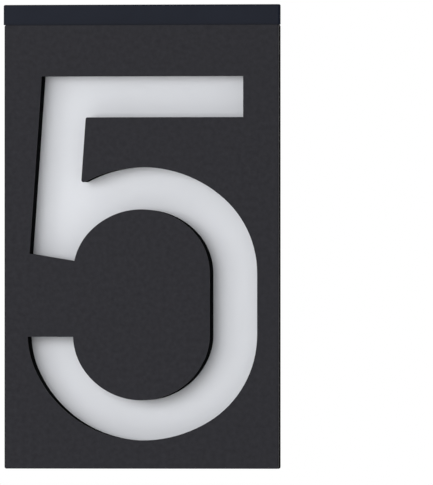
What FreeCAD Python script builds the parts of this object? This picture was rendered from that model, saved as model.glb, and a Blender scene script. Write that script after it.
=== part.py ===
"""Solar house number plaque, digit 5.

Units are millimetres. The face looks along -Y, the wall is the plane Y = 0 and +Z is up. While the
pieces are made, Z is counted from the lower edge of the face; at the end all of them are lowered by
keyhole_z, so that the origin lies on the wall, midway between the two keyholes.
"""
import FreeCAD
import Part
import math
import os

# Face and overall size
face_width = 110.0
face_height = 176.0
sheet_thickness = 1.2
face_corner_radius = 0.8
face_edge_radius = 0.4

# Front frame
web_thickness = 2.0
rim_depth = 5.8
rim_wall = 2.0
digit_wall = 1.6
digit_wall_depth = 10.0
frame_digit_clearance = 0.1

# Digit 5, measured from the middle of the face and from its lower edge
digit_side_margin = 8.9
digit_top_margin = 20.4
digit_bottom_margin = 11.2
bowl_middle = 0.4
bowl_half_width = face_width / 2 - digit_side_margin
bowl_stroke = 18.7
counter_half_width = bowl_half_width - bowl_stroke
stem_foot_inset = 0.7
stem_foot_width = 18.2
stem_lean = 4.9
stem_inner_lean = 4.5
stem_foot_left = bowl_middle - bowl_half_width + stem_foot_inset
stem_foot_right = stem_foot_left + stem_foot_width
stem_inner_top = stem_foot_right + stem_inner_lean
bar_right_inset = 5.6
bar_stroke = 16.3
bar_left = stem_foot_left + stem_lean
bar_right = bowl_middle + bowl_half_width - bar_right_inset
bar_top = face_height - digit_top_margin
bar_bottom = bar_top - bar_stroke
bowl_below_bar = 19.8
bowl_top = bar_bottom - bowl_below_bar
counter_below_bowl_top = 16.7
counter_top = bowl_top - counter_below_bowl_top
stem_foot_drop = 17.5
stem_foot_rise = 3.0
stem_foot_left_z = counter_top - stem_foot_drop
stem_foot_right_z = stem_foot_left_z - stem_foot_rise
bowl_bottom = digit_bottom_margin
bowl_upper_share = 0.388
bowl_lower_share = 0.386
bowl_upper_side = bowl_top - bowl_upper_share * (bowl_top - bowl_bottom)
bowl_lower_side = bowl_bottom + bowl_lower_share * (bowl_top - bowl_bottom)
counter_above_bowl_bottom = 15.9
counter_bottom = bowl_bottom + counter_above_bowl_bottom
terminal_drop = 0.7
terminal_top = bowl_lower_side - terminal_drop
bowl_shoulders = (0.94, 0.96, 0.80)
counter_shoulders = (0.94, 0.90, 0.94)
digit_corner_radius = 0.8

# Diffuser and its seal
seal_thickness = 0.5
diffuser_thickness = 2.5
diffuser_side_lap = 0.5
diffuser_lower_lap = 1.3
diffuser_top_gap = 16.0
diffuser_lower_radius = 34.0
diffuser_upper_radius = 3.0
pin_diameter = 2.4
pin_clearance = 0.1
pin_shoulder = 5.0
pin_edge_gap = 3.2

# Rear housing, which narrows towards the wall
housing_seal_thickness = 0.8
housing_side_step = 3.0
housing_taper = 5.5
housing_front_half = face_width / 2 - housing_side_step
housing_back_half = housing_front_half - housing_taper
housing_front_bottom = 4.0
housing_lower_taper = 5.0
housing_back_bottom = housing_front_bottom + housing_lower_taper
housing_corner = 5.0
housing_top_corner = 0.8
housing_wall = 2.2
back_wall = 2.4

# Corner posts and the screws that close the housing
post_side_inset = 5.5
post_end_inset = 5.5
post_top_inset = 8.5
post_x = housing_back_half - post_side_inset
post_low_z = housing_back_bottom + post_end_inset
post_high_z = face_height - post_top_inset
post_diameter = 8.0
boss_diameter = 7.0
post_front = 13.7
screw_tunnel = 6.4
post_seat = 2.5
screw_shank = 3.0
screw_head = 5.6
screw_head_height = 2.0
screw_length = 11.0
screw_clearance = 0.1
screw_head_rounding = 0.4
screw_slot_length = 0.72
screw_slot_width = 0.14

# Keyholes for the wall screws
keyhole_spacing = 60.0
keyhole_drop = 28.0
keyhole_z = face_height - keyhole_drop
keyhole_entry_radius = 4.25
keyhole_slot_width = 4.4
keyhole_rise = 7.0
pocket_wall = 1.6
pocket_depth = 6.0
pocket_margin = 0.8

# Reflector tray
tray_side_gap = 5.0
tray_lower_gap = 6.0
tray_top_gap = 17.0
tray_slope = 9.0
tray_front_half = housing_front_half - tray_side_gap
tray_front_bottom = housing_front_bottom + tray_lower_gap
tray_front_top = face_height - tray_top_gap
tray_floor_half = tray_front_half - tray_slope
tray_floor_bottom = tray_front_bottom + tray_slope
tray_floor_top = tray_front_top - tray_slope
tray_depth = 11.0
tray_wall = 1.2
tray_lower_radius = 30.0
tray_upper_radius = 10.0
tray_floor_lower_radius = 20.0
tray_floor_upper_radius = 6.0
led_window = 6.4

# Light boards
led_side_gap = 16.0
led_end_gap = 17.0
led_row_drop = 22.0
led_rows = 3
led_x = tray_floor_half - led_side_gap
led_first_z = tray_floor_bottom + led_end_gap
led_last_z = tray_floor_top - led_row_drop
led_pitch = (led_last_z - led_first_z) / (led_rows - 1)
led_size = 5.0
led_height = 1.6
led_lens_diameter = 4.0
led_lens_depth = 0.3
led_board_width = 12.0
led_board_end = 8.0
board_thickness = 1.6
reflector_post = 6.0
reflector_screw_shank = 2.5
reflector_screw_head = 4.6
reflector_screw_head_height = 1.4
reflector_screw_length = 9.0

# Battery bay and its cover
battery_diameter = 14.2
battery_length = 49.2
battery_nub_diameter = 5.4
battery_nub = 1.3
battery_rounding = 0.6
bay_above_bottom = 27.0
bay_z = housing_back_bottom + bay_above_bottom
bay_clearance = 0.3
bay_front_gap = 1.3
bay_end_room = 7.6
bay_wall = 1.3
contact_thickness = 0.5
contact_height = 11.0
spring_wire = 0.8
spring_turns = 4
spring_base_radius = 4.6
spring_tip_radius = 2.6
cover_thickness = 1.8
cover_corner = 3.0
cover_clearance = 0.25
cover_seal_thickness = 0.8
cover_seal_width = 1.8
cover_ledge = 1.8
cover_screw_gap = 7.2
cover_screw_inset = 3.4
cover_edge = 5.6
cover_screw_shank = 2.2
cover_screw_head = 4.0
cover_screw_head_height = 1.2
cover_screw_length = 7.0
cover_boss = 4.6
cover_boss_floor = 0.5
cover_screw_x = (battery_length + bay_end_room) / 2 + cover_screw_gap
cover_length = 2 * (cover_screw_x + cover_screw_inset)
cover_height = battery_diameter + 2 * bay_clearance + 2 * cover_edge

# Control board and slide switch
control_width = 34.0
control_height = 40.0
control_above_bay = 24.0
control_low_z = bay_z + control_above_bay
control_high_z = control_low_z + control_height
control_boss_x = 12.0
control_boss_inset = 5.0
control_boss_z = control_high_z - control_boss_inset
control_boss = 5.0
control_screw_shank = 2.0
control_screw_head = 3.8
control_screw_head_height = 1.3
control_screw_length = 6.0
switch_above_edge = 10.0
switch_z = control_low_z + switch_above_edge
parts_x = 6.5
parts_above_switch = 12.0
parts_z = switch_z + parts_above_switch
chip_length = 5.0
chip_width = 4.0
chip_height = 1.6
coil_flange = 6.0
coil_winding = 4.6
coil_height = 3.4
coil_flange_thickness = 0.8
switch_travel = 2.5
switch_length = 10.0
switch_height = 5.2
switch_depth = 5.2
switch_shell = 0.8
switch_gap = 0.3
knob_length = 3.0
knob_height = 1.8
knob_below_wall = 0.8
slider_length = 5.0
slider_height = 3.2
slider_depth = 1.2
finger_pocket_length = 18.0
finger_pocket_height = 10.0
finger_pocket_depth = 3.0
finger_pocket_floor = 2.0
rib_width = 0.4
rib_depth = 0.3
rib_pitch = 0.9

# Top cap and solar panel
cap_height = 8.0
cap_set_back = 1.0
cap_side_step = 0.8
cap_back_step = 1.1
cap_front_half = face_width / 2 + cap_side_step
cap_back_half = housing_back_half + cap_back_step
cap_front_corner = 1.0
cap_back_corner = 4.0
cap_top_edge = 0.6
panel_side_gap = 3.6
panel_front_gap = 3.4
panel_back_gap = 5.6
panel_length = 2 * (cap_back_half - panel_side_gap)
panel_clearance = 0.2
panel_corner = 1.5
panel_recess = 3.0
panel_floor = 1.6
solar_board_thickness = 1.2
solar_cell_thickness = 0.4
solar_cover_thickness = 1.2
solar_cells_count = 4
solar_cell_gap = 1.0
solar_cell_border = 1.6
cap_screw_end_gap = 8.0
cap_screw_x = panel_length / 2 - cap_screw_end_gap
cap_screw_front_gap = 12.0
cap_screw_back_y = 10.0
cap_boss = 6.0
cap_screw_length = 5.0
grommet_y = 22.0
grommet_neck = 7.0
grommet_flange = 10.0
grommet_flange_thickness = 1.0

# Leads between the boards, the solar panel and the battery's contacts
lead_diameter = 1.4
lead_pitch = 2.6
lead_bend = 3.0
lead_hole_clearance = 0.1
solar_lead_turn = 9.0
solar_lead_run_gap = 4.2
solar_lead_end = 4.0
battery_lead_offset = 3.0
battery_lead_turn = 6.0
battery_lead_inset = 3.0
battery_lead_end = 4.0
led_lead_bend = 1.5
led_lead_inset = 3.0
led_lead_reach = 2.0
led_lead_z = 16.0

# The depth is what the light box and the battery bay behind it take up together
light_box_depth = digit_wall_depth + seal_thickness + diffuser_thickness + tray_depth + tray_wall
bay_depth = cover_thickness + battery_diameter + 2 * bay_clearance + bay_wall
total_depth = light_box_depth + board_thickness + bay_front_gap + bay_depth
panel_width = total_depth - cap_set_back - panel_front_gap - panel_back_gap
cap_screw_front_y = total_depth - cap_screw_front_gap

# Places along Y that follow from the sizes above; the wall is 0 and the face is at the other end
face_y = -total_depth
web_front_y = face_y + sheet_thickness
web_back_y = web_front_y + web_thickness
rim_back_y = face_y + rim_depth
digit_wall_back_y = face_y + digit_wall_depth
diffuser_front_y = digit_wall_back_y + seal_thickness
diffuser_back_y = diffuser_front_y + diffuser_thickness
housing_front_y = web_back_y + housing_seal_thickness
tray_back_y = diffuser_back_y + tray_depth
tray_rear_y = tray_back_y + tray_wall
led_board_rear_y = tray_rear_y + board_thickness
post_front_y = face_y + post_front
cap_front_y = face_y + cap_set_back
cover_ledge_y = -cover_thickness - cover_seal_thickness
bay_floor_y = -cover_thickness - bay_clearance - battery_diameter - bay_clearance
battery_y = -cover_thickness - bay_clearance - battery_diameter / 2
pocket_floor_y = -finger_pocket_depth
switch_top_y = pocket_floor_y - finger_pocket_floor
switch_bottom_y = switch_top_y - switch_depth

diffuser_half = bowl_middle + bowl_half_width + digit_wall + diffuser_side_lap
diffuser_bottom = bowl_bottom - digit_wall - diffuser_lower_lap
diffuser_top = face_height - diffuser_top_gap
cap_bottom_z = face_height
cap_top_z = face_height + cap_height
panel_seat_z = cap_top_z - panel_recess
panel_front_y = cap_front_y + panel_front_gap
panel_back_y = panel_front_y + panel_width


def point(x, y, z):
    return FreeCAD.Vector(x, y, z)


def block(x0, x1, y0, y1, z0, z1):
    return Part.makeBox(x1 - x0, y1 - y0, z1 - z0, point(x0, y0, z0))


def rod_y(diameter, y0, y1, x, z):
    return Part.makeCylinder(diameter / 2, y1 - y0, point(x, y0, z), point(0, 1, 0))


def rod_z(diameter, z0, z1, x, y):
    return Part.makeCylinder(diameter / 2, z1 - z0, point(x, y, z0), point(0, 0, 1))


def rod_x(diameter, x0, x1, y, z):
    return Part.makeCylinder(diameter / 2, x1 - x0, point(x0, y, z), point(1, 0, 0))


def join(shapes):
    first = shapes[0]
    return first.fuse(shapes[1:]).removeSplitter()


def quarter_arc(centre, radius, start_degrees):
    """A quarter circle in a plane of constant Y, turning from +X towards +Z."""
    ends = []
    for degrees in (0, 45, 90):
        angle = math.radians(start_degrees + degrees)
        ends.append(centre + point(radius * math.cos(angle), 0, radius * math.sin(angle)))
    return Part.Arc(*ends).toShape()


def rounded_outline(y, half_width, low_z, high_z, low_radius, high_radius):
    """An upright rounded rectangle at Y = y; the lower and upper corners have their own radii."""
    centres = [
        (point(half_width - high_radius, y, high_z - high_radius), high_radius, 0),
        (point(high_radius - half_width, y, high_z - high_radius), high_radius, 90),
        (point(low_radius - half_width, y, low_z + low_radius), low_radius, 180),
        (point(half_width - low_radius, y, low_z + low_radius), low_radius, 270),
    ]
    arcs = [quarter_arc(centre, radius, start) for centre, radius, start in centres]
    edges = []
    for index, arc in enumerate(arcs):
        following = arcs[(index + 1) % len(arcs)]
        edges.append(arc)
        edges.append(Part.makeLine(arc.Vertexes[-1].Point, following.Vertexes[0].Point))
    return Part.Wire(edges)


def rounded_slab(y0, y1, half_width, low_z, high_z, low_radius, high_radius):
    outline = rounded_outline(y0, half_width, low_z, high_z, low_radius, high_radius)
    return Part.Face(outline).extrude(point(0, y1 - y0, 0))


def rounded_pad(x0, x1, y0, y1, z0, z1, radius):
    """A flat pad lying in a plane of constant Z, with its four upright edges rounded."""
    pad = block(x0, x1, y0, y1, z0, z1)
    upright = [edge for edge in pad.Edges if abs(edge.tangentAt(edge.FirstParameter).z) > 0.99]
    return pad.makeFillet(radius, upright)


def arc_between(centre, radius, start, end):
    """The shorter arc round a centre from one point to another."""
    middle = ((start - centre) + (end - centre)).normalize()
    return Part.Arc(start, centre + middle * radius, end).toShape()


def bowl_quarter(middle, side_x, side_z, crown_z, shoulder, grow):
    """Two tangent arcs from the crown of a bowl to its side, the tighter one at the further end."""
    outward = 1 if side_x > middle else -1
    upward = 1 if crown_z > side_z else -1
    half = abs(side_x - middle)
    rise = abs(crown_z - side_z)
    near = min(half, rise)
    far = max(half, rise)
    tight = shoulder * near
    wide = ((far - tight) ** 2 + near ** 2 - tight ** 2) / (2 * (near - tight))
    crown_radius, side_radius = (wide, tight) if half > rise else (tight, wide)
    crown_centre = point(middle, 0, crown_z - upward * crown_radius)
    side_centre = point(side_x - outward * side_radius, 0, side_z)
    wide_centre, tight_centre = (crown_centre, side_centre) if half > rise else (side_centre, crown_centre)
    meeting = wide_centre + (tight_centre - wide_centre).normalize() * (wide + grow)
    crown = point(middle, 0, crown_z + upward * grow)
    side = point(side_x + outward * grow, 0, side_z)
    return [
        arc_between(crown_centre, crown_radius + grow, crown, meeting),
        arc_between(side_centre, side_radius + grow, meeting, side),
    ]


def bowl_face(middle, half_width, top, bottom, shoulders, grow):
    """A closed bowl: round ends joined by straight sides. Shoulders are upper, lower right, lower left."""
    upper, lower_right, lower_left = shoulders
    left = middle - half_width
    right = middle + half_width
    edges = bowl_quarter(middle, right, bowl_upper_side, top, upper, grow)
    edges += bowl_quarter(middle, left, bowl_upper_side, top, upper, grow)
    edges += bowl_quarter(middle, right, bowl_lower_side, bottom, lower_right, grow)
    edges += bowl_quarter(middle, left, bowl_lower_side, bottom, lower_left, grow)
    for x in (left - grow, right + grow):
        edges.append(Part.makeLine(point(x, 0, bowl_upper_side), point(x, 0, bowl_lower_side)))
    return Part.Face(Part.Wire(Part.__sortEdges__(edges)))


def polygon_face(corners, grow):
    """A flat polygon in the plane Y = 0, its sides moved outwards by an even margin."""
    points = [point(x, 0, z) for x, z in corners]
    face = Part.Face(Part.makePolygon(points + points[:1]))
    if grow == 0:
        return face
    return face.makeOffset2D(grow, 2).Faces[0]


def digit_slab(grow, y0, y1):
    """The digit, grown by an even margin, as a solid between two planes."""
    lean = (bar_left - stem_foot_left) / (bar_top - stem_foot_left_z)
    stem_inner_foot = stem_inner_top - lean * (bar_bottom - stem_foot_right_z)
    bar = polygon_face([
        (bar_left, bar_top),
        (bar_right, bar_top),
        (bar_right, bar_bottom),
        (bar_left - lean * (bar_top - bar_bottom), bar_bottom),
    ], grow)
    stem = polygon_face([
        (bar_left, bar_top),
        (stem_inner_top, bar_top),
        (stem_inner_top, bar_bottom),
        (stem_inner_foot, stem_foot_right_z),
        (stem_foot_left, stem_foot_left_z),
    ], grow)
    foot_slope = (stem_foot_right_z - stem_foot_left_z) / (stem_foot_right - stem_foot_left)
    mouth = polygon_face([
        (-face_width, stem_foot_left_z - foot_slope * (face_width + stem_foot_left)),
        (0.0, stem_foot_left_z - foot_slope * stem_foot_left),
        (0.0, terminal_top),
        (-face_width, terminal_top),
    ], -grow)
    bowl = bowl_face(bowl_middle, bowl_half_width, bowl_top, bowl_bottom, bowl_shoulders, grow)
    counter = bowl_face(0.0, counter_half_width, counter_top, counter_bottom, counter_shoulders, -grow)
    digit = join([bar, stem, bowl]).cut(counter).cut(mouth).removeSplitter()
    slab = digit.Faces[0].translated(point(0, y0, 0)).extrude(point(0, y1 - y0, 0))
    if grow >= digit_corner_radius:
        return slab
    inner_corners = [
        edge for edge in slab.Edges
        if abs(edge.CenterOfMass.y - (y0 + y1) / 2) < 0.01
        and stem_inner_foot < edge.CenterOfMass.x < stem_inner_top + 1
        and counter_top < edge.CenterOfMass.z < bar_bottom + 1
    ]
    return slab.makeFillet(digit_corner_radius - grow, inner_corners)


def housing_section(y, inset):
    """Half width, lower edge and upper edge of the tapered housing at a depth y."""
    share = (y - housing_front_y) / (0.0 - housing_front_y)
    half = housing_front_half + share * (housing_back_half - housing_front_half)
    low = housing_front_bottom + share * (housing_back_bottom - housing_front_bottom)
    return half - inset, low + inset, face_height - inset


def housing_solid(y0, y1, inset):
    """The housing's tapered body between two depths, drawn in from its outside by inset."""
    radius = housing_corner - inset
    wires = []
    for y in (y0, y1):
        half, low, high = housing_section(y, inset)
        wires.append(rounded_outline(y, half, low, high, radius, housing_top_corner))
    return Part.makeLoft(wires, True, True)


def screw_along_y(x, z, head_y, shank, head, head_height, length, direction):
    """A pan-head screw whose head sits on the plane head_y and whose shank points along direction."""
    head_end = head_y - direction * head_height
    tip = head_y + direction * length
    head_body = rod_y(head, min(head_y, head_end), max(head_y, head_end), x, z)
    rims = [edge for edge in head_body.Edges if abs(edge.CenterOfMass.y - head_end) < 0.01]
    head_body = head_body.makeFillet(head_height * screw_head_rounding, rims)
    slot_half = head * screw_slot_length / 2
    slot_half_width = head * screw_slot_width / 2
    slot_end = head_end + direction * head_height * screw_head_rounding
    slot = block(
        x - slot_half, x + slot_half, min(head_end, slot_end), max(head_end, slot_end),
        z - slot_half_width, z + slot_half_width,
    )
    shank_body = rod_y(shank, min(head_y, tip), max(head_y, tip), x, z)
    return head_body.cut(slot).fuse(shank_body)


def corner_places():
    return [(x, z) for x in (-post_x, post_x) for z in (post_low_z, post_high_z)]


def reflector_screw_places():
    between = [led_first_z + led_pitch * (row + 0.5) for row in range(led_rows - 1)]
    return [(x, z) for x in (-led_x, led_x) for z in between]


def led_places():
    rows = [led_first_z + led_pitch * row for row in range(led_rows)]
    return [(x, z) for x in (-led_x, led_x) for z in rows]


def pin_places():
    """Pins that carry the diffuser, at its edges and in the middle of the digit's counter."""
    edge_x = diffuser_half - pin_edge_gap
    mouth_z = (terminal_top + stem_foot_right_z) / 2
    shelf_z = (bar_bottom + bowl_top) / 2
    bar_z = (bar_bottom + bar_top) / 2
    return [(-edge_x, bar_z), (edge_x, bar_z), (edge_x, shelf_z), (-edge_x, mouth_z), (0.0, mouth_z)]


def make_face_plate():
    sheet = rounded_slab(
        face_y, web_front_y, face_width / 2, 0.0, face_height, face_corner_radius, face_corner_radius,
    )
    front = [edge for edge in sheet.Edges if edge.BoundBox.YMax < face_y + 0.01]
    sheet = sheet.makeFillet(face_edge_radius, front)
    return sheet.cut(digit_slab(0, face_y - 1, web_front_y + 1))


def make_front_frame():
    half = face_width / 2
    corner = face_corner_radius
    web = rounded_slab(web_front_y, web_back_y, half, 0.0, face_height, corner, corner)
    rim = rounded_slab(web_back_y, rim_back_y, half, 0.0, face_height, corner, corner)
    rim = rim.cut(block(
        rim_wall - half, half - rim_wall, web_back_y, rim_back_y, rim_wall, face_height + 1,
    ))
    solids = [web, rim]
    solids.append(digit_slab(frame_digit_clearance + digit_wall, web_back_y, digit_wall_back_y))
    for x, z in corner_places():
        solids.append(rod_y(boss_diameter, web_back_y, post_front_y - screw_clearance, x, z))
    for x, z in pin_places():
        solids.append(rod_y(pin_shoulder, web_back_y, diffuser_front_y, x, z))
        solids.append(rod_y(pin_diameter, diffuser_front_y, diffuser_back_y, x, z))
    frame = join(solids)
    frame = frame.cut(digit_slab(frame_digit_clearance, web_front_y - 1, digit_wall_back_y + 1))
    for x, z in corner_places():
        bore_y = post_front_y - post_seat
        frame = frame.cut(rod_y(
            screw_shank + 2 * screw_clearance, bore_y - screw_length + post_seat, post_front_y, x, z,
        ))
    return frame


def make_diffuser_seal():
    outer = digit_slab(frame_digit_clearance + digit_wall, digit_wall_back_y, diffuser_front_y)
    return outer.cut(digit_slab(frame_digit_clearance, digit_wall_back_y - 1, diffuser_front_y + 1))


def make_diffuser():
    sheet = rounded_slab(
        diffuser_front_y, diffuser_back_y, diffuser_half, diffuser_bottom, diffuser_top,
        diffuser_lower_radius, diffuser_upper_radius,
    )
    for x, z in pin_places():
        sheet = sheet.cut(rod_y(
            pin_diameter + 2 * pin_clearance, diffuser_front_y - 1, diffuser_back_y + 1, x, z,
        ))
    return sheet


def make_housing_seal():
    """A flat ring between the frame's web and the front edge of the housing's walls."""
    rings = []
    for inset in (0.0, housing_wall):
        half, low, high = housing_section(housing_front_y, inset)
        corner = housing_corner - inset
        rings.append(rounded_slab(
            web_back_y, housing_front_y, half, low, high, corner, housing_top_corner,
        ))
    outer, inner = rings
    return outer.cut(inner)


def keyhole_cutters():
    """The entry hole, the slot above it and the pocket for the screw's head, for both keyholes."""
    cutters = []
    slot_half = keyhole_slot_width / 2
    pocket_half = keyhole_entry_radius + pocket_margin
    slot_end_z = keyhole_z + keyhole_rise
    for x in (-keyhole_spacing / 2, keyhole_spacing / 2):
        cutters.append(rod_y(2 * keyhole_entry_radius, -back_wall, 1.0, x, keyhole_z))
        cutters.append(rod_y(keyhole_slot_width, -back_wall, 1.0, x, slot_end_z))
        cutters.append(block(x - slot_half, x + slot_half, -back_wall, 1.0, keyhole_z, slot_end_z))
        cutters.append(block(
            x - pocket_half, x + pocket_half, -back_wall - pocket_depth, -back_wall,
            keyhole_z - pocket_half, slot_end_z + pocket_half,
        ))
    return cutters


def keyhole_cups():
    cups = []
    half = keyhole_entry_radius + pocket_margin + pocket_wall
    slot_end_z = keyhole_z + keyhole_rise
    for x in (-keyhole_spacing / 2, keyhole_spacing / 2):
        cups.append(block(
            x - half, x + half, -back_wall - pocket_depth - pocket_wall, -back_wall / 2,
            keyhole_z - half, slot_end_z + half,
        ))
    return cups


def bay_half_length():
    return (battery_length + bay_end_room) / 2


def bay_half_height():
    return battery_diameter / 2 + bay_clearance


def make_rear_housing():
    body = housing_solid(housing_front_y, 0.0, 0.0)
    body = body.cut(housing_solid(housing_front_y, -back_wall, housing_wall))
    added = []
    removed = keyhole_cutters()
    for x, z in corner_places():
        added.append(rod_y(post_diameter, post_front_y, -back_wall / 2, x, z))
        removed.append(rod_y(screw_tunnel, post_front_y + post_seat, 1.0, x, z))
        removed.append(rod_y(screw_shank + 2 * screw_clearance, post_front_y - 1, 0.0, x, z))
    added.extend(keyhole_cups())
    for x, z in reflector_screw_places():
        added.append(rod_y(reflector_post, led_board_rear_y, -back_wall / 2, x, z))
        removed.append(rod_y(
            reflector_screw_shank + 2 * screw_clearance, led_board_rear_y - 1,
            tray_back_y + reflector_screw_length + 1, x, z,
        ))
    bay_x = bay_half_length()
    bay_h = bay_half_height()
    added.append(block(
        -bay_x - bay_wall, bay_x + bay_wall, bay_floor_y - bay_wall, -back_wall / 2,
        bay_z - bay_h - bay_wall, bay_z + bay_h + bay_wall,
    ))
    added.append(rounded_slab(
        cover_ledge_y - cover_ledge, -back_wall / 2, cover_length / 2 + cover_ledge,
        bay_z - cover_height / 2 - cover_ledge, bay_z + cover_height / 2 + cover_ledge,
        cover_corner, cover_corner,
    ))
    removed.append(block(-bay_x, bay_x, bay_floor_y, 1.0, bay_z - bay_h, bay_z + bay_h))
    removed.append(rounded_slab(
        cover_ledge_y, 1.0, cover_length / 2, bay_z - cover_height / 2, bay_z + cover_height / 2,
        cover_corner, cover_corner,
    ))
    for x in (-cover_screw_x, cover_screw_x):
        boss_y = -cover_thickness - cover_screw_length
        added.append(rod_y(cover_boss, boss_y, cover_ledge_y, x, bay_z))
        removed.append(rod_y(
            cover_screw_shank + 2 * screw_clearance, boss_y + cover_boss_floor, 1.0, x, bay_z,
        ))
    for x in (-control_boss_x, control_boss_x):
        added.append(rod_y(control_boss, switch_bottom_y, -back_wall / 2, x, control_boss_z))
        removed.append(rod_y(
            control_screw_shank + 2 * screw_clearance, switch_bottom_y - 1,
            switch_bottom_y - board_thickness + control_screw_length, x, control_boss_z,
        ))
    added.append(block(
        -finger_pocket_length / 2 - bay_wall, finger_pocket_length / 2 + bay_wall, switch_top_y,
        -back_wall / 2, switch_z - finger_pocket_height / 2 - bay_wall,
        switch_z + finger_pocket_height / 2 + bay_wall,
    ))
    removed.append(rounded_slab(
        pocket_floor_y, 1.0, finger_pocket_length / 2, switch_z - finger_pocket_height / 2,
        switch_z + finger_pocket_height / 2, cover_corner, cover_corner,
    ))
    removed.append(block(
        -(knob_length + switch_travel) / 2 - switch_gap, (knob_length + switch_travel) / 2 + switch_gap,
        switch_top_y - 1, 0.0, switch_z - knob_height / 2 - switch_gap,
        switch_z + knob_height / 2 + switch_gap,
    ))
    for x, y in battery_lead_places():
        removed.append(rod_z(
            lead_diameter + 2 * lead_hole_clearance, bay_z + bay_h - bay_wall, bay_z + bay_h + 2 * bay_wall,
            x, y,
        ))
    for x, y in cap_screw_places():
        removed.append(rod_z(
            screw_shank + 2 * screw_clearance, face_height - 2 * housing_wall, face_height + 1, x, y,
        ))
    removed.append(rod_z(grommet_neck, face_height - 2 * housing_wall, face_height + 1, 0.0, -grommet_y))
    body = join([body] + added)
    for cutter in removed:
        body = body.cut(cutter)
    return body


def make_housing_screws():
    seat_y = post_front_y + post_seat
    screws = [
        screw_along_y(x, z, seat_y, screw_shank, screw_head, screw_head_height, screw_length, -1)
        for x, z in corner_places()
    ]
    return Part.makeCompound(screws)


def make_reflector():
    front = rounded_outline(
        diffuser_back_y, tray_front_half, tray_front_bottom, tray_front_top, tray_lower_radius,
        tray_upper_radius,
    )
    floor = rounded_outline(
        tray_back_y, tray_floor_half, tray_floor_bottom, tray_floor_top, tray_floor_lower_radius,
        tray_floor_upper_radius,
    )
    front_outer = rounded_outline(
        diffuser_back_y, tray_front_half + tray_wall, tray_front_bottom - tray_wall,
        tray_front_top + tray_wall, tray_lower_radius + tray_wall, tray_upper_radius + tray_wall,
    )
    floor_outer = rounded_outline(
        tray_rear_y, tray_floor_half + tray_wall, tray_floor_bottom - tray_wall,
        tray_floor_top + tray_wall, tray_floor_lower_radius + tray_wall,
        tray_floor_upper_radius + tray_wall,
    )
    tray = Part.makeLoft([front_outer, floor_outer], True, True)
    tray = tray.cut(Part.makeLoft([front, floor], True, True))
    half = led_window / 2
    for x, z in led_places():
        tray = tray.cut(block(x - half, x + half, tray_back_y - 1, tray_rear_y + 1, z - half, z + half))
    for x, z in reflector_screw_places():
        tray = tray.cut(rod_y(
            reflector_screw_shank + 2 * screw_clearance, tray_back_y - 1, tray_rear_y + 1, x, z,
        ))
    return tray


def make_reflector_screws():
    screws = [
        screw_along_y(
            x, z, tray_back_y, reflector_screw_shank, reflector_screw_head,
            reflector_screw_head_height, reflector_screw_length, 1,
        )
        for x, z in reflector_screw_places()
    ]
    return Part.makeCompound(screws)


def make_led_boards():
    low_z = led_first_z - led_board_end
    high_z = led_first_z + led_pitch * (led_rows - 1) + led_board_end
    boards = []
    for middle in (-led_x, led_x):
        board = block(
            middle - led_board_width / 2, middle + led_board_width / 2, tray_rear_y, led_board_rear_y,
            low_z, high_z,
        )
        for x, z in reflector_screw_places():
            board = board.cut(rod_y(
                reflector_screw_shank + 2 * screw_clearance, tray_rear_y - 1, led_board_rear_y + 1, x, z,
            ))
        boards.append(board)
    return Part.makeCompound(boards)


def make_leds():
    half = led_size / 2
    lamps = []
    for x, z in led_places():
        body = block(x - half, x + half, tray_rear_y - led_height, tray_rear_y, z - half, z + half)
        lens_floor_y = tray_rear_y - led_height + led_lens_depth
        lamps.append(body.cut(rod_y(led_lens_diameter, tray_rear_y - 2 * led_height, lens_floor_y, x, z)))
    return Part.makeCompound(lamps)


def cap_screw_places():
    return [(x, -y) for x in (-cap_screw_x, cap_screw_x) for y in (cap_screw_front_y, cap_screw_back_y)]


def plan_face(front_y, back_y, front_half, back_half, z):
    """A level four-sided face, as wide as front_half at its front and as back_half at its back."""
    corners = [
        point(-front_half, front_y, z),
        point(front_half, front_y, z),
        point(back_half, back_y, z),
        point(-back_half, back_y, z),
    ]
    return Part.Face(Part.makePolygon(corners + corners[:1]))


def make_top_cap():
    plan = plan_face(cap_front_y, 0.0, cap_front_half, cap_back_half, cap_bottom_z)
    body = plan.extrude(point(0, 0, cap_height))
    for corner_y, radius in ((cap_front_y, cap_front_corner), (0.0, cap_back_corner)):
        corners = [
            edge for edge in body.Edges
            if abs(edge.CenterOfMass.y - corner_y) < 0.01 and edge.BoundBox.ZLength > cap_height / 2
        ]
        body = body.makeFillet(radius, corners)
    top = max(body.Faces, key=lambda face: face.CenterOfMass.z)
    body = body.makeFillet(cap_top_edge, top.OuterWire.Edges)
    hollow_front_y = housing_front_y + housing_wall
    hollow_plan = plan_face(
        hollow_front_y, -back_wall, housing_section(hollow_front_y, housing_wall)[0],
        housing_section(-back_wall, housing_wall)[0], cap_bottom_z,
    )
    body = body.cut(hollow_plan.extrude(point(0, 0, panel_seat_z - panel_floor - cap_bottom_z)))
    half = panel_length / 2 + panel_clearance
    body = body.cut(rounded_pad(
        -half, half, panel_front_y - panel_clearance, panel_back_y + panel_clearance, panel_seat_z,
        cap_top_z + 1, panel_corner,
    ))
    for x, y in cap_screw_places():
        body = body.fuse(rod_z(cap_boss, cap_bottom_z, panel_seat_z - panel_floor, x, y))
    for x, y in cap_screw_places():
        body = body.cut(rod_z(
            screw_shank + 2 * screw_clearance, cap_bottom_z - 1,
            face_height - housing_wall + cap_screw_length + screw_clearance, x, y,
        ))
    body = body.cut(rod_z(grommet_neck, cap_bottom_z, panel_seat_z + 1, 0.0, -grommet_y))
    return body.removeSplitter()


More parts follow.
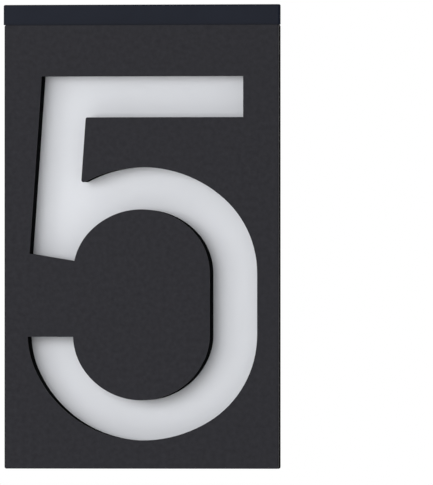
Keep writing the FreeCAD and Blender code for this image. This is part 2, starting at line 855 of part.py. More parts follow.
def make_cap_screws():
    seat_z = face_height - housing_wall
    screws = []
    for x, y in cap_screw_places():
        head = rod_z(screw_head, seat_z - screw_head_height, seat_z, x, y)
        rims = [edge for edge in head.Edges if abs(edge.CenterOfMass.z - seat_z + screw_head_height) < 0.01]
        head = head.makeFillet(screw_head_height * screw_head_rounding, rims)
        screws.append(head.fuse(rod_z(screw_shank, seat_z, seat_z + cap_screw_length, x, y)))
    return Part.makeCompound(screws)


def make_solar_board():
    half = panel_length / 2
    board = rounded_pad(
        -half, half, panel_front_y, panel_back_y, panel_seat_z, panel_seat_z + solar_board_thickness,
        panel_corner,
    )
    for x in (-lead_pitch / 2, lead_pitch / 2):
        board = board.cut(rod_z(lead_diameter, panel_seat_z - 1, panel_seat_z + 2, x, -grommet_y))
    return board


def make_solar_cells():
    usable = panel_length - 2 * solar_cell_border - (solar_cells_count - 1) * solar_cell_gap
    cell_length = usable / solar_cells_count
    low_z = panel_seat_z + solar_board_thickness
    cells = []
    for index in range(solar_cells_count):
        x0 = -panel_length / 2 + solar_cell_border + index * (cell_length + solar_cell_gap)
        cells.append(block(
            x0, x0 + cell_length, panel_front_y + solar_cell_border, panel_back_y - solar_cell_border,
            low_z, low_z + solar_cell_thickness,
        ))
    return Part.makeCompound(cells)


def make_solar_cover():
    half = panel_length / 2
    low_z = panel_seat_z + solar_board_thickness
    high_z = low_z + solar_cell_thickness + solar_cover_thickness
    cover = rounded_pad(-half, half, panel_front_y, panel_back_y, low_z, high_z, panel_corner)
    return cover.cut(make_solar_cells())


def make_lead_grommet():
    wall_low_z = face_height - housing_wall
    grommet = rod_z(grommet_neck, wall_low_z, face_height, 0.0, -grommet_y)
    flanges = [
        rod_z(grommet_flange, wall_low_z - grommet_flange_thickness, wall_low_z, 0.0, -grommet_y),
        rod_z(grommet_flange, face_height, face_height + grommet_flange_thickness, 0.0, -grommet_y),
    ]
    grommet = grommet.fuse(flanges).removeSplitter()
    for x in (-lead_pitch / 2, lead_pitch / 2):
        grommet = grommet.cut(rod_z(lead_diameter, 0.0, cap_top_z, x, -grommet_y))
    return grommet


def make_control_board():
    half = control_width / 2
    board = block(
        -half, half, switch_bottom_y - board_thickness, switch_bottom_y, control_low_z, control_high_z,
    )
    for x in (-control_boss_x, control_boss_x):
        board = board.cut(rod_y(
            control_screw_shank + 2 * screw_clearance, switch_bottom_y - board_thickness - 1,
            switch_bottom_y + 1, x, control_boss_z,
        ))
    return board


def make_board_screws():
    screws = [
        screw_along_y(
            x, control_boss_z, switch_bottom_y - board_thickness, control_screw_shank,
            control_screw_head, control_screw_head_height, control_screw_length - 1, 1,
        )
        for x in (-control_boss_x, control_boss_x)
    ]
    return Part.makeCompound(screws)


def make_control_chip():
    return block(
        parts_x - chip_length / 2, parts_x + chip_length / 2, switch_bottom_y,
        switch_bottom_y + chip_height, parts_z - chip_width / 2, parts_z + chip_width / 2,
    )


def make_power_coil():
    """A drum core: two flanges with the winding between them."""
    top_y = switch_bottom_y + coil_height
    return join([
        rod_y(coil_winding, switch_bottom_y, top_y, -parts_x, parts_z),
        rod_y(coil_flange, switch_bottom_y, switch_bottom_y + coil_flange_thickness, -parts_x, parts_z),
        rod_y(coil_flange, top_y - coil_flange_thickness, top_y, -parts_x, parts_z),
    ])


def slider_room():
    """The space in the switch's shell that the slider's foot moves in."""
    half_x = (slider_length + switch_travel) / 2 + switch_gap
    half_z = slider_height / 2 + switch_gap
    y1 = switch_top_y - switch_shell
    y0 = y1 - slider_depth - 2 * switch_gap
    return block(-half_x, half_x, y0, y1, switch_z - half_z, switch_z + half_z)


def make_switch_body():
    body = block(
        -switch_length / 2, switch_length / 2, switch_bottom_y, switch_top_y,
        switch_z - switch_height / 2, switch_z + switch_height / 2,
    )
    body = body.cut(slider_room())
    half_x = (knob_length + switch_travel) / 2 + switch_gap
    half_z = knob_height / 2 + switch_gap
    return body.cut(block(
        -half_x, half_x, switch_top_y - 2 * switch_shell, switch_top_y + 1, switch_z - half_z,
        switch_z + half_z,
    ))


def make_switch_slider():
    """The slider at its off end, half the travel to the left."""
    middle = -switch_travel / 2
    foot_y1 = switch_top_y - switch_shell - switch_gap
    foot_y0 = foot_y1 - slider_depth
    foot = block(
        middle - slider_length / 2, middle + slider_length / 2, foot_y0, foot_y1,
        switch_z - slider_height / 2, switch_z + slider_height / 2,
    )
    knob = block(
        middle - knob_length / 2, middle + knob_length / 2, foot_y1, -knob_below_wall,
        switch_z - knob_height / 2, switch_z + knob_height / 2,
    )
    slider = foot.fuse(knob).removeSplitter()
    for step in (-1, 0, 1):
        x = middle + step * rib_pitch
        slider = slider.cut(block(
            x - rib_width / 2, x + rib_width / 2, -knob_below_wall - rib_depth, 0.0,
            switch_z - knob_height, switch_z + knob_height,
        ))
    return slider


def lead(places, bend):
    """A round lead along straight runs at right angles, turned at each corner on an arc."""
    corners = [point(*place) for place in places]
    edges = []
    start = corners[0]
    for before, corner, after in zip(corners, corners[1:], corners[2:]):
        back = (before - corner).normalize()
        ahead = (after - corner).normalize()
        centre = corner + (back + ahead) * bend
        middle = centre - (back + ahead).normalize() * bend
        edges.append(Part.makeLine(start, corner + back * bend))
        edges.append(Part.Arc(corner + back * bend, middle, corner + ahead * bend).toShape())
        start = corner + ahead * bend
    edges.append(Part.makeLine(start, corners[-1]))
    section = Part.Wire(Part.makeCircle(lead_diameter / 2, corners[0], corners[1] - corners[0]))
    return Part.Wire(edges).makePipeShell([section], True, False)


def make_solar_leads():
    """From the solar board down through the grommet, and behind the light box to the control board."""
    turn_z = face_height - solar_lead_turn
    run_y = led_board_rear_y + solar_lead_run_gap
    end_z = control_high_z - solar_lead_end
    leads = []
    for x in (-lead_pitch / 2, lead_pitch / 2):
        leads.append(lead([
            (x, -grommet_y, panel_seat_z + solar_board_thickness),
            (x, -grommet_y, turn_z),
            (x, run_y, turn_z),
            (x, run_y, end_z),
            (x, switch_bottom_y - board_thickness, end_z),
        ], lead_bend))
    return Part.makeCompound(leads)


def battery_lead_places():
    x = bay_half_length() - lead_diameter / 2
    return [(side * x, battery_y + battery_lead_offset) for side in (-1, 1)]


def make_battery_leads():
    """From the two contacts up out of the bay and round to the back of the control board."""
    turn_z = control_low_z - battery_lead_turn
    end_z = control_low_z + battery_lead_end
    leads = []
    for x, y in battery_lead_places():
        end_x = math.copysign(control_width / 2 - battery_lead_inset, x)
        leads.append(lead([
            (x, y, bay_z + contact_height / 2),
            (x, y, turn_z),
            (end_x, y, turn_z),
            (end_x, y, end_z),
            (end_x, switch_bottom_y, end_z),
        ], lead_bend))
    return Part.makeCompound(leads)


def make_led_leads():
    """Two from the front of the control board to each light board."""
    board_y = switch_bottom_y - board_thickness
    run_y = (board_y + led_board_rear_y) / 2
    leads = []
    for side in (-1, 1):
        start_x = side * (control_width / 2 - led_lead_inset)
        end_x = side * (led_x - led_lead_reach)
        for step in (0, 1):
            z = control_low_z + led_lead_z + step * lead_pitch
            leads.append(lead([
                (start_x, board_y, z),
                (start_x, run_y, z),
                (end_x, run_y, z),
                (end_x, led_board_rear_y, z),
            ], led_lead_bend))
    return Part.makeCompound(leads)


def battery_left():
    """Where the flat end of the battery lies; its nub touches the contact plate on the right."""
    return bay_half_length() - contact_thickness - battery_nub - battery_length


def make_battery():
    left = battery_left()
    body = rod_x(battery_diameter, left, left + battery_length, battery_y, bay_z)
    rims = [edge for edge in body.Edges if edge.Closed]
    body = body.makeFillet(battery_rounding, rims)
    nub = rod_x(
        battery_nub_diameter, left + battery_length, left + battery_length + battery_nub, battery_y, bay_z,
    )
    return body.fuse(nub)


def make_battery_contact():
    """A plate at each end of the bay; the one on the left carries the spring."""
    half = contact_height / 2
    outer = bay_half_length()
    plates = [
        block(x0, x0 + contact_thickness, battery_y - half, battery_y + half, bay_z - half, bay_z + half)
        for x0 in (-outer, outer - contact_thickness)
    ]
    return Part.makeCompound(plates)


def make_battery_spring():
    """A tapering wire spring between the left contact plate and the battery's flat end."""
    start_x = contact_thickness - bay_half_length()
    rise = battery_left() - start_x - spring_wire
    cone = math.degrees(math.atan2(spring_base_radius - spring_tip_radius, rise))
    # a long helix has one edge a turn, which the sweep follows closely
    helix = Part.makeLongHelix(rise / spring_turns, rise, spring_base_radius, -cone)
    first = helix.Edges[0]
    start = first.valueAt(first.FirstParameter)
    tangent = first.tangentAt(first.FirstParameter)
    section = Part.Wire(Part.makeCircle(spring_wire / 2, start, tangent))
    coil = Part.Wire(helix.Edges).makePipeShell([section], True, True)
    coil.rotate(point(0, 0, 0), point(0, 1, 0), 90)
    coil.translate(point(start_x + spring_wire / 2, battery_y, bay_z))
    return coil


def make_battery_cover():
    half = cover_length / 2 - cover_clearance
    half_height = cover_height / 2 - cover_clearance
    cover = rounded_slab(
        -cover_thickness, 0.0, half, bay_z - half_height, bay_z + half_height,
        cover_corner - cover_clearance, cover_corner - cover_clearance,
    )
    for x in (-cover_screw_x, cover_screw_x):
        cover = cover.cut(rod_y(
            cover_screw_shank + 2 * screw_clearance, -cover_thickness - 1, 1.0, x, bay_z,
        ))
        cover = cover.cut(rod_y(
            cover_screw_head + 2 * screw_clearance, -cover_screw_head_height, 1.0, x, bay_z,
        ))
    return cover


def make_battery_cover_seal():
    half = cover_length / 2 - cover_clearance
    half_height = cover_height / 2 - cover_clearance
    corner = cover_corner - cover_clearance
    outer = rounded_slab(
        cover_ledge_y, -cover_thickness, half, bay_z - half_height, bay_z + half_height, corner, corner,
    )
    inner = block(
        -bay_half_length(), bay_half_length(), cover_ledge_y - 1, 0.0,
        bay_z - half_height + cover_seal_width, bay_z + half_height - cover_seal_width,
    )
    seal = outer.cut(inner)
    for x in (-cover_screw_x, cover_screw_x):
        seal = seal.cut(rod_y(cover_screw_shank + 2 * screw_clearance, cover_ledge_y - 1, 0.0, x, bay_z))
    return seal


def make_battery_cover_screws():
    screws = [
        screw_along_y(
            x, bay_z, -cover_screw_head_height, cover_screw_shank, cover_screw_head,
            cover_screw_head_height - screw_clearance, cover_screw_length - 2 * cover_boss_floor, -1,
        )
        for x in (-cover_screw_x, cover_screw_x)
    ]
    return Part.makeCompound(screws)


def make_all():
    return {
        "face_plate": make_face_plate(),
        "front_frame": make_front_frame(),
        "diffuser_seal": make_diffuser_seal(),
        "diffuser": make_diffuser(),
        "housing_seal": make_housing_seal(),
        "rear_housing": make_rear_housing(),
        "housing_screws": make_housing_screws(),
        "reflector": make_reflector(),
        "reflector_screws": make_reflector_screws(),
        "led_boards": make_led_boards(),
        "leds": make_leds(),
        "top_cap": make_top_cap(),
        "cap_screws": make_cap_screws(),
        "solar_board": make_solar_board(),
        "solar_cells": make_solar_cells(),
        "solar_cover": make_solar_cover(),
        "lead_grommet": make_lead_grommet(),
        "solar_leads": make_solar_leads(),
        "battery_leads": make_battery_leads(),
        "led_leads": make_led_leads(),
        "control_board": make_control_board(),
        "board_screws": make_board_screws(),
        "control_chip": make_control_chip(),
        "power_coil": make_power_coil(),
        "switch_body": make_switch_body(),
        "switch_slider": make_switch_slider(),
        "battery": make_battery(),
        "battery_contact": make_battery_contact(),
        "battery_spring": make_battery_spring(),
        "battery_cover": make_battery_cover(),
        "battery_cover_seal": make_battery_cover_seal(),
        "battery_cover_screws": make_battery_cover_screws(),
    }


os.makedirs("parts", exist_ok=True)
for node, shape in make_all().items():
    placed = shape.translated(point(0, 0, -keyhole_z))
    placed.exportStep("parts/" + node + ".step")
    print(node, len(placed.Solids), round(placed.Volume, 1), placed.isValid())
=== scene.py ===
import math

import bpy
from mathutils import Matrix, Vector


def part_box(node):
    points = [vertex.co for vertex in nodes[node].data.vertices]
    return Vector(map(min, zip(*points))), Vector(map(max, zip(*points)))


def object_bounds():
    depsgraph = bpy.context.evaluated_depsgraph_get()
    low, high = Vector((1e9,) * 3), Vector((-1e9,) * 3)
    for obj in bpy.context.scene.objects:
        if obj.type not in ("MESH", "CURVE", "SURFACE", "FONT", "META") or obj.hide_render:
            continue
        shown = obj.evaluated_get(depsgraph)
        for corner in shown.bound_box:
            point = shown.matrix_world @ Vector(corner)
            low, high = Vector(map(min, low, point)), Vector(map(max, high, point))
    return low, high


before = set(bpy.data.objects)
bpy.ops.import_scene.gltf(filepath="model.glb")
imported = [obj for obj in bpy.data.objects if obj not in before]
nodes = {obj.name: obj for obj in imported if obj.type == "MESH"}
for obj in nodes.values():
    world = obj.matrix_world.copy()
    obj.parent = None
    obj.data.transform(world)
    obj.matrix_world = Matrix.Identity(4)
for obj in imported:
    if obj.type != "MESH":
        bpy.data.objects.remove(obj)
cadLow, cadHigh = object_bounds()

mm = 0.001


def hexColour(text):
    # sRGB hex to the linear colour that shaders use
    levels = [int(text[place:place + 2], 16) / 255 for place in (1, 3, 5)]
    linear = [
        level / 12.92 if level <= 0.04045 else ((level + 0.055) / 1.055) ** 2.4
        for level in levels
    ]
    return (*linear, 1.0)


def addNode(tree, kind, settings, links):
    # text keys are the node's own properties or named sockets, number keys are sockets by place
    node = tree.nodes.new(kind)
    for name, value in settings.items():
        if isinstance(name, str) and hasattr(node, name):
            setattr(node, name, value)
        else:
            node.inputs[name].default_value = value
    for name, socket in links.items():
        tree.links.new(socket, node.inputs[name])
    return node


def startMaterial(name, settings):
    material = bpy.data.materials.new(name)
    material.use_nodes = True
    tree = material.node_tree
    tree.nodes.clear()
    shader = addNode(tree, "ShaderNodeBsdfPrincipled", settings, {})
    addNode(tree, "ShaderNodeOutputMaterial", {}, {"Surface": shader.outputs["BSDF"]})
    place = addNode(tree, "ShaderNodeTexCoord", {}, {}).outputs["Object"]
    return material, tree, shader, place


def mottle(tree, shader, place, darker, lighter, patch, detail=3.0):
    # slow drift between two close shades; patch is the size of one cloud in metres
    cloud = addNode(
        tree, "ShaderNodeTexNoise", {"Scale": 1 / patch, "Detail": detail, "Roughness": 0.55}, {"Vector": place}
    )
    shade = addNode(
        tree, "ShaderNodeMix", {"data_type": "RGBA", 6: hexColour(darker), 7: hexColour(lighter)},
        {0: cloud.outputs[0]},
    )
    tree.links.new(shade.outputs[2], shader.inputs["Base Color"])


def grain(tree, shader, place, pitch, height):
    # surface relief; pitch is the spacing of its grains and height their depth, in metres
    bumps = addNode(
        tree, "ShaderNodeTexNoise", {"Scale": 1 / pitch, "Detail": 2.0, "Roughness": 0.6}, {"Vector": place}
    )
    relief = addNode(
        tree, "ShaderNodeBump", {"Strength": 1.0, "Distance": height}, {"Height": bumps.outputs[0]}
    )
    tree.links.new(relief.outputs[0], shader.inputs["Normal"])
    return bumps.outputs[0]


def roughnessDrift(tree, shader, pattern, low, high):
    # spreads roughness between two values along a pattern
    spread = addNode(tree, "ShaderNodeMapRange", {"To Min": low, "To Max": high}, {"Value": pattern})
    tree.links.new(spread.outputs[0], shader.inputs["Roughness"])


def grainedSkin(name, settings, finish):
    # the usual skin: a drifting shade, a fine relief and a roughness that follows the relief
    material, tree, shader, place = startMaterial(name, settings)
    shades = finish["darker"], finish["lighter"]
    mottle(tree, shader, place, *shades, finish["patch"], finish.get("detail", 3.0))
    relief = grain(tree, shader, place, finish["grit"], finish["depth"])
    roughnessDrift(tree, shader, relief, *finish["rough"])
    return material


def powderCoat():
    # polyester powder coat on aluminium sheet: matte, with the faint cloud and grit of the sprayed powder
    finish = {
        "darker": "#15151A", "lighter": "#2A2A2F", "patch": 2 * mm, "detail": 5.0,
        "grit": 0.5 * mm, "depth": 0.02 * mm, "rough": (0.56, 0.68),
    }
    return grainedSkin("anthracitePowderCoat", {"IOR": 1.5, "Specular IOR Level": 0.12}, finish)


def mattAbs():
    # black ABS from a deeply etched mould: the walls round the numeral swallow light and stay black
    finish = {
        "darker": "#060607", "lighter": "#0A0A0B", "patch": 30 * mm,
        "grit": 0.45 * mm, "depth": 0.03 * mm, "rough": (0.85, 0.95),
    }
    return grainedSkin("etchedMattBlackAbs", {"IOR": 1.53, "Specular IOR Level": 0.005}, finish)


def mouldedAbs():
    # black ABS from a spark-eroded mould: dull and even, with a low broad sheen
    finish = {
        "darker": "#111113", "lighter": "#161618", "patch": 30 * mm,
        "grit": 0.6 * mm, "depth": 0.03 * mm, "rough": (0.5, 0.66),
    }
    return grainedSkin("sparkTexturedBlackAbs", {"IOR": 1.53, "Specular IOR Level": 0.3}, finish)


def satinAbs():
    # blue-black ABS with a satin skin: even sheen, soft long highlights
    finish = {
        "darker": "#11151F", "lighter": "#171B26", "patch": 12 * mm,
        "grit": 0.6 * mm, "depth": 0.008 * mm, "rough": (0.4, 0.48),
    }
    return grainedSkin("satinBlueBlackAbs", {"IOR": 1.53, "Specular IOR Level": 0.05}, finish)


def opalAcrylic():
    # opal acrylic sheet with a frosted skin: milky, light spreads a little way inside it
    finish = {
        "darker": "#D6D8DD", "lighter": "#DADCE1", "patch": 35 * mm,
        "grit": 0.35 * mm, "depth": 0.004 * mm, "rough": (0.42, 0.52), "spread": 2.5 * mm,
    }
    settings = {
        "IOR": 1.49, "Specular IOR Level": 0.4, "Subsurface Weight": 0.5,
        "Subsurface Radius": (1.0, 1.0, 1.0), "Subsurface Scale": finish["spread"],
    }
    return grainedSkin("frostedOpalAcrylic", settings, finish)


def cellFoam():
    # closed-cell EPDM foam: charcoal, pitted all over
    finish = {"darker": "#121213", "lighter": "#1D1D1F", "cell": 0.7 * mm, "depth": 0.12 * mm}
    material, tree, shader, place = startMaterial(
        "closedCellEpdmFoam", {"Roughness": 0.92, "Specular IOR Level": 0.3}
    )
    pits = addNode(tree, "ShaderNodeTexVoronoi", {"Scale": 1 / finish["cell"]}, {"Vector": place})
    shade = addNode(
        tree, "ShaderNodeMix",
        {"data_type": "RGBA", 6: hexColour(finish["lighter"]), 7: hexColour(finish["darker"])},
        {0: pits.outputs["Distance"]},
    )
    relief = addNode(
        tree, "ShaderNodeBump", {"Strength": 0.8, "Distance": finish["depth"], "invert": True},
        {"Height": pits.outputs["Distance"]},
    )
    tree.links.new(shade.outputs[2], shader.inputs["Base Color"])
    tree.links.new(relief.outputs[0], shader.inputs["Normal"])
    return material


def siliconeRubber():
    # moulded silicone rubber: mid grey, soft sheen, slightly dusty
    finish = {
        "darker": "#2A2B2D", "lighter": "#38393B", "patch": 6 * mm,
        "grit": 0.5 * mm, "depth": 0.02 * mm, "rough": (0.6, 0.75),
    }
    settings = {"IOR": 1.41, "Sheen Weight": 0.15, "Sheen Roughness": 0.4}
    return grainedSkin("mouldedSiliconeRubber", settings, finish)


def zincSteel():
    # steel with bright zinc plating: cool silver, cloudy, fine turning marks
    finish = {
        "darker": "#A9AEB4", "lighter": "#C9CCCF", "patch": 2.5 * mm,
        "grit": 0.25 * mm, "depth": 0.006 * mm, "rough": (0.24, 0.4),
    }
    return grainedSkin("brightZincPlatedSteel", {"Metallic": 1.0}, finish)


def nickelSteel():
    # nickel-plated spring steel: warm silver, smooth, with faint fine marks
    finish = {
        "darker": "#B5ADA0", "lighter": "#CFC8BC", "patch": 4 * mm,
        "grit": 0.2 * mm, "depth": 0.004 * mm, "rough": (0.18, 0.32),
    }
    return grainedSkin("nickelPlatedSpringSteel", {"Metallic": 1.0}, finish)


def leadSleeve():
    # extruded PVC insulation: black and smooth, with a faint unevenness
    finish = {
        "darker": "#101012", "lighter": "#1A1A1C", "patch": 3 * mm,
        "grit": 0.4 * mm, "depth": 0.01 * mm, "rough": (0.35, 0.48),
    }
    return grainedSkin("extrudedPvcInsulation", {"IOR": 1.54}, finish)


def whiteAbs():
    # white ABS with a fine mould grain: bright, spreads light evenly
    finish = {
        "darker": "#E2E2E0", "lighter": "#EAEAE8", "patch": 25 * mm,
        "grit": 0.4 * mm, "depth": 0.01 * mm, "rough": (0.38, 0.5),
    }
    return grainedSkin("fineGrainWhiteAbs", {"IOR": 1.53}, finish)


def boardMask(name, mask, trace):
    # glass-fibre circuit board under solder mask: glossy lacquer, copper tracks show as paler lines
    track = {
        "pitch": 2.4 * mm, "length": 12 * mm, "width": 0.35 * mm, "depth": 0.03 * mm,
        "patch": 5 * mm, "rough": (0.3, 0.42),
    }
    settings = {"IOR": 1.55, "Coat Weight": 0.4, "Coat Roughness": 0.15}
    material, tree, shader, place = startMaterial(name, settings)
    turned = addNode(tree, "ShaderNodeMapping", {"Rotation": (math.radians(90), 0, 0)}, {"Vector": place})
    lanes = addNode(tree, "ShaderNodeTexBrick", {
        "Color1": (0, 0, 0, 1), "Color2": (0, 0, 0, 1), "Mortar": (1, 1, 1, 1), "Scale": 1.0,
        "Mortar Size": track["width"] / 2, "Mortar Smooth": 0.2,
        "Brick Width": track["length"], "Row Height": track["pitch"],
    }, {"Vector": turned.outputs[0]})
    shade = addNode(
        tree, "ShaderNodeMix", {"data_type": "RGBA", 6: hexColour(mask), 7: hexColour(trace)},
        {0: lanes.outputs["Color"]},
    )
    relief = addNode(
        tree, "ShaderNodeBump", {"Strength": 0.5, "Distance": track["depth"]}, {"Height": lanes.outputs["Color"]}
    )
    tree.links.new(shade.outputs[2], shader.inputs["Base Color"])
    tree.links.new(relief.outputs[0], shader.inputs["Normal"])
    cloud = addNode(tree, "ShaderNodeTexNoise", {"Scale": 1 / track["patch"]}, {"Vector": place})
    roughnessDrift(tree, shader, cloud.outputs[0], *track["rough"])
    return material


def lampPhosphor():
    # phosphor gel of a white lamp chip: yellow, glossy dome over powder
    finish = {
        "darker": "#D9B83A", "lighter": "#E8CE58", "patch": 0.8 * mm,
        "grit": 0.15 * mm, "depth": 0.01 * mm, "rough": (0.35, 0.5),
    }
    return grainedSkin("phosphorGel", {"IOR": 1.45, "Coat Weight": 0.6, "Coat Roughness": 0.1}, finish)


def siliconCell(name, settings):
    # monocrystalline silicon: deep blue-black wafers with printed silver fingers and two wide bus bars;
    # the fingers are drawn twice as wide as real ones so that they show
    lines = {
        "fingerPitch": 2.05 * mm, "fingerWidth": 0.16 * mm, "barPitch": 16.4 * mm, "barWidth": 1.2 * mm,
        "cells": 4, "gap": 1.0 * mm, "silver": "#646C7C", "board": "#0B0C10",
        "waferDark": "#080F2C", "waferPale": "#0F1C48", "patch": 9 * mm, "rough": (0.22, 0.45),
    }
    low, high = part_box("solar_cells")
    middle = (low + high) / 2
    half = (high - low) / 2
    cellPitch = (2 * half.x + lines["gap"]) / lines["cells"]
    material, tree, shader, place = startMaterial(name, settings)
    centred = addNode(
        tree, "ShaderNodeMapping", {"Location": (-middle.x, -middle.y, -middle.z)}, {"Vector": place}
    )
    split = addNode(tree, "ShaderNodeSeparateXYZ", {}, {0: centred.outputs[0]})
    lineMasks = []
    for axis, line in ((0, "finger"), (1, "bar")):
        pitch = lines[line + "Pitch"]
        edge = (pitch - lines[line + "Width"]) / 2
        away = addNode(tree, "ShaderNodeMath", {"operation": "PINGPONG", 1: pitch / 2}, {0: split.outputs[axis]})
        lineMask = addNode(tree, "ShaderNodeMath", {"operation": "GREATER_THAN", 1: edge}, {0: away.outputs[0]})
        lineMasks.append(lineMask)
    printed = addNode(
        tree, "ShaderNodeMath", {"operation": "MAXIMUM"}, {0: lineMasks[0].outputs[0], 1: lineMasks[1].outputs[0]}
    )
    # bare board shows between the cells and past their ends
    between = addNode(
        tree, "ShaderNodeMath", {"operation": "PINGPONG", 1: cellPitch / 2}, {0: split.outputs[0]}
    )
    bare = addNode(
        tree, "ShaderNodeMath", {"operation": "LESS_THAN", 1: lines["gap"] / 2}, {0: between.outputs[0]}
    )
    for axis, reach in ((0, half.x), (1, half.y)):
        size = addNode(tree, "ShaderNodeMath", {"operation": "ABSOLUTE"}, {0: split.outputs[axis]})
        beyond = addNode(tree, "ShaderNodeMath", {"operation": "GREATER_THAN", 1: reach}, {0: size.outputs[0]})
        bare = addNode(
            tree, "ShaderNodeMath", {"operation": "MAXIMUM"}, {0: bare.outputs[0], 1: beyond.outputs[0]}
        )
    cloud = addNode(
        tree, "ShaderNodeTexNoise", {"Scale": 1 / lines["patch"], "Detail": 4.0}, {"Vector": place}
    )
    wafer = addNode(
        tree, "ShaderNodeMix",
        {"data_type": "RGBA", 6: hexColour(lines["waferDark"]), 7: hexColour(lines["waferPale"])},
        {0: cloud.outputs[0]},
    )
    cell = addNode(
        tree, "ShaderNodeMix", {"data_type": "RGBA", 7: hexColour(lines["silver"])},
        {0: printed.outputs[0], 6: wafer.outputs[2]},
    )
    shade = addNode(
        tree, "ShaderNodeMix", {"data_type": "RGBA", 7: hexColour(lines["board"])},
        {0: bare.outputs[0], 6: cell.outputs[2]},
    )
    tree.links.new(shade.outputs[2], shader.inputs["Base Color"])
    roughnessDrift(tree, shader, printed.outputs[0], *lines["rough"])
    return material


def castResin():
    # clear doming epoxy cast on the cells: it touches them without a gap, so their pattern is drawn
    # on its own skin and a clear coat gives the gloss of the resin
    return siliconCell("castEpoxyOverSilicon", {
        "Specular IOR Level": 0.05, "Coat Weight": 0.6, "Coat Roughness": 0.06, "Coat IOR": 1.5,
    })


def chipEpoxy():
    # transfer-moulded epoxy: matte black with a fine sandy skin
    finish = {
        "darker": "#121214", "lighter": "#1A1A1C", "patch": 1.5 * mm,
        "grit": 0.12 * mm, "depth": 0.01 * mm, "rough": (0.55, 0.7),
    }
    return grainedSkin("transferMouldedEpoxy", {"IOR": 1.55}, finish)


def sinteredFerrite():
    # sintered ferrite: dark grey, dull, tiny pores
    finish = {
        "darker": "#222224", "lighter": "#303033", "patch": 1.2 * mm,
        "grit": 0.2 * mm, "depth": 0.03 * mm, "rough": (0.6, 0.75),
    }
    return grainedSkin("sinteredFerrite", {"IOR": 1.8}, finish)


def whiteAcetal():
    # moulded acetal: milky white and slippery, a low sheen
    finish = {
        "darker": "#D8D8D4", "lighter": "#E2E2DE", "patch": 2 * mm,
        "grit": 0.2 * mm, "depth": 0.006 * mm, "rough": (0.3, 0.42), "spread": 0.5 * mm,
    }
    settings = {"IOR": 1.48, "Subsurface Weight": 0.1, "Subsurface Scale": finish["spread"]}
    return grainedSkin("mouldedWhiteAcetal", settings, finish)


def sleevedCell():
    # battery cell in a shrunk PVC sleeve: plain green with a pale band at the nub end, tight and glossy
    sleeve = {
        "body": "#2F5D48", "band": "#C9CCC8", "metal": "#B9B9B6", "bandWidth": 8 * mm, "rim": 2.2 * mm,
        "grit": 3 * mm, "depth": 0.02 * mm, "rough": (0.22, 0.34),
    }
    low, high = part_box("battery")
    rimStart = high.x - sleeve["rim"]
    settings = {"IOR": 1.54, "Coat Weight": 0.3, "Coat Roughness": 0.1}
    material, tree, shader, place = startMaterial("shrunkPvcSleeve", settings)
    split = addNode(tree, "ShaderNodeSeparateXYZ", {}, {0: place})
    inBand = addNode(
        tree, "ShaderNodeMath", {"operation": "GREATER_THAN", 1: rimStart - sleeve["bandWidth"]},
        {0: split.outputs[0]},
    )
    atRim = addNode(
        tree, "ShaderNodeMath", {"operation": "GREATER_THAN", 1: rimStart}, {0: split.outputs[0]}
    )
    banded = addNode(
        tree, "ShaderNodeMix",
        {"data_type": "RGBA", 6: hexColour(sleeve["body"]), 7: hexColour(sleeve["band"])},
        {0: inBand.outputs[0]},
    )
    shade = addNode(
        tree, "ShaderNodeMix", {"data_type": "RGBA", 7: hexColour(sleeve["metal"])},
        {0: atRim.outputs[0], 6: banded.outputs[2]},
    )
    tree.links.new(shade.outputs[2], shader.inputs["Base Color"])
    tree.links.new(atRim.outputs[0], shader.inputs["Metallic"])
    wrinkle = grain(tree, shader, place, sleeve["grit"], sleeve["depth"])
    roughnessDrift(tree, shader, wrinkle, *sleeve["rough"])
    return material


# each slot of the record and the finish that it gets
finishes = {
    "panel_coat": powderCoat(),
    "black_abs": mouldedAbs(),
    "cap_abs": satinAbs(),
    "opal_acrylic": opalAcrylic(),
    "foam_rubber": cellFoam(),
    "seal_rubber": siliconeRubber(),
    "zinc_steel": zincSteel(),
    "nickel_steel": nickelSteel(),
    "reflector_white": whiteAbs(),
    "board_white": boardMask("whiteMaskBoard", "#D9DAD6", "#E6E7E3"),
    "board_green": boardMask("greenMaskBoard", "#1E5A38", "#2E7A4C"),
    "board_black": boardMask("blackMaskBoard", "#101216", "#1C2026"),
    "led_phosphor": lampPhosphor(),
    "cell_silicon": siliconCell("monocrystallineSilicon", {"Specular IOR Level": 0.1}),
    "panel_resin": castResin(),
    "chip_epoxy": chipEpoxy(),
    "ferrite": sinteredFerrite(),
    "knob_white": whiteAcetal(),
    "cell_sleeve": sleevedCell(),
    "lead_pvc": leadSleeve(),
}

ownFinishes = {"front_frame": mattAbs()}  # pieces whose finish is not their slot's usual one

for name, piece in nodes.items():
    for place in piece.material_slots:
        given = place.material.name.split(".")[0]
        if name not in ownFinishes and given not in finishes:
            print("no finish for", name, given)
            continue
        place.material = ownFinishes.get(name) or finishes[given]
print("finishes set on", len(nodes), "pieces")


def softLight(name, spot, target, size, watts):
    bpy.ops.object.light_add(type="AREA", location=spot)
    lamp = bpy.context.object
    lamp.name = name
    lamp.data.shape = "DISK"
    lamp.data.size = size
    lamp.data.energy = watts
    lamp.rotation_euler = (Vector(target) - Vector(spot)).to_track_quat("-Z", "Y").to_euler()
    lamp.visible_camera = False  # so that no view from behind looks into a lamp


middle = (cadLow + cadHigh) / 2
lighting = {
    "keyLight": {"spot": (-0.19, -0.95, 0.04), "size": 0.52, "watts": 3.85},
    "sideLight": {"spot": (-0.85, -1.1, 0.1), "size": 0.6, "watts": 3.1},
    "backLight": {"spot": (0.9, 2.1, 1.2), "size": 1.5, "watts": 34.0},
}
dome = 0.5  # the sky's share of the light
for name, lamp in lighting.items():
    softLight(name, lamp["spot"], middle, lamp["size"], lamp["watts"])

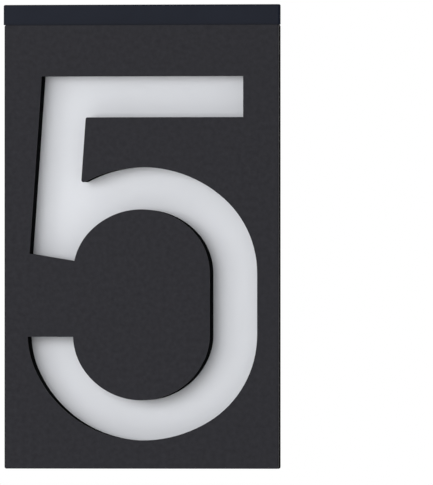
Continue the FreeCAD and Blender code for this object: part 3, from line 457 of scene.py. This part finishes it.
world = bpy.data.worlds.new("paleStudio")
world.use_nodes = True
bpy.context.scene.world = world
tree = world.node_tree
tree.nodes.clear()
seen = addNode(tree, "ShaderNodeLightPath", {}, {})
direct = addNode(
    tree, "ShaderNodeMath", {"operation": "MAXIMUM"},
    {0: seen.outputs["Is Camera Ray"], 1: seen.outputs["Is Glossy Ray"]},
)
shown = addNode(
    tree, "ShaderNodeMath", {"operation": "MAXIMUM"},
    {0: direct.outputs[0], 1: seen.outputs["Is Transmission Ray"]},
)
level = addNode(tree, "ShaderNodeMapRange", {"To Min": dome, "To Max": 1.0}, {"Value": shown.outputs[0]})
sky = addNode(tree, "ShaderNodeBackground", {"Color": (1, 1, 1, 1)}, {"Strength": level.outputs[0]})
addNode(tree, "ShaderNodeOutputWorld", {}, {"Surface": sky.outputs[0]})
print("lights and world set")

studio = {
    "floorSize": 60.0, "floorDrop": 0.26, "floorLift": 0.5,
    "darker": "#EDEDEB", "lighter": "#F1F1EF", "patch": 0.4,
}
floorHeight = cadLow.z - studio["floorDrop"]
bpy.ops.mesh.primitive_plane_add(size=studio["floorSize"], location=(0, 0, floorHeight))
floor = bpy.context.object
floor.name = "studioFloor"
bpy.ops.object.transform_apply(location=True, rotation=True, scale=True)
floorPaint, tree, shader, place = startMaterial("paleFloorPaint", {
    "Roughness": 0.9, "Specular IOR Level": 0.2, "Emission Color": (1, 1, 1, 1),
})
mottle(tree, shader, place, studio["darker"], studio["lighter"], studio["patch"])
seen = addNode(tree, "ShaderNodeLightPath", {}, {})
lift = addNode(
    tree, "ShaderNodeMath", {"operation": "MULTIPLY", 1: studio["floorLift"]},
    {0: seen.outputs["Is Camera Ray"]},
)
tree.links.new(lift.outputs[0], shader.inputs["Emission Strength"])  # pale to the eye, while the shadow stays
floor.data.materials.append(floorPaint)

view = {
    "azimuth": 9.0, "elevation": -0.4, "distance": 7.0, "across": 29.85 * mm, "up": 89.65 * mm,
    "lens": 1311.0, "sensor": 36.0, "near": 0.05, "far": 30.0,
}
turn = math.radians(view["azimuth"])
tilt = math.radians(view["elevation"])
towards = Vector((math.sin(turn) * math.cos(tilt), -math.cos(turn) * math.cos(tilt), math.sin(tilt)))
rightwards = Vector((math.cos(turn), math.sin(turn), 0))
aim = Vector((0, cadLow.y, cadLow.z + view["up"])) + rightwards * view["across"]
bpy.ops.object.camera_add(location=aim + towards * view["distance"])
camera = bpy.context.object
camera.rotation_euler = (-towards).to_track_quat("-Z", "Y").to_euler()
camera.data.sensor_fit = "AUTO"
camera.data.sensor_width = view["sensor"]  # spans the taller side of the picture
camera.data.lens = view["lens"]
camera.data.clip_start = view["near"]
camera.data.clip_end = view["far"]
bpy.context.scene.camera = camera
bpy.context.scene.view_settings.view_transform = "Standard"
print("camera set")
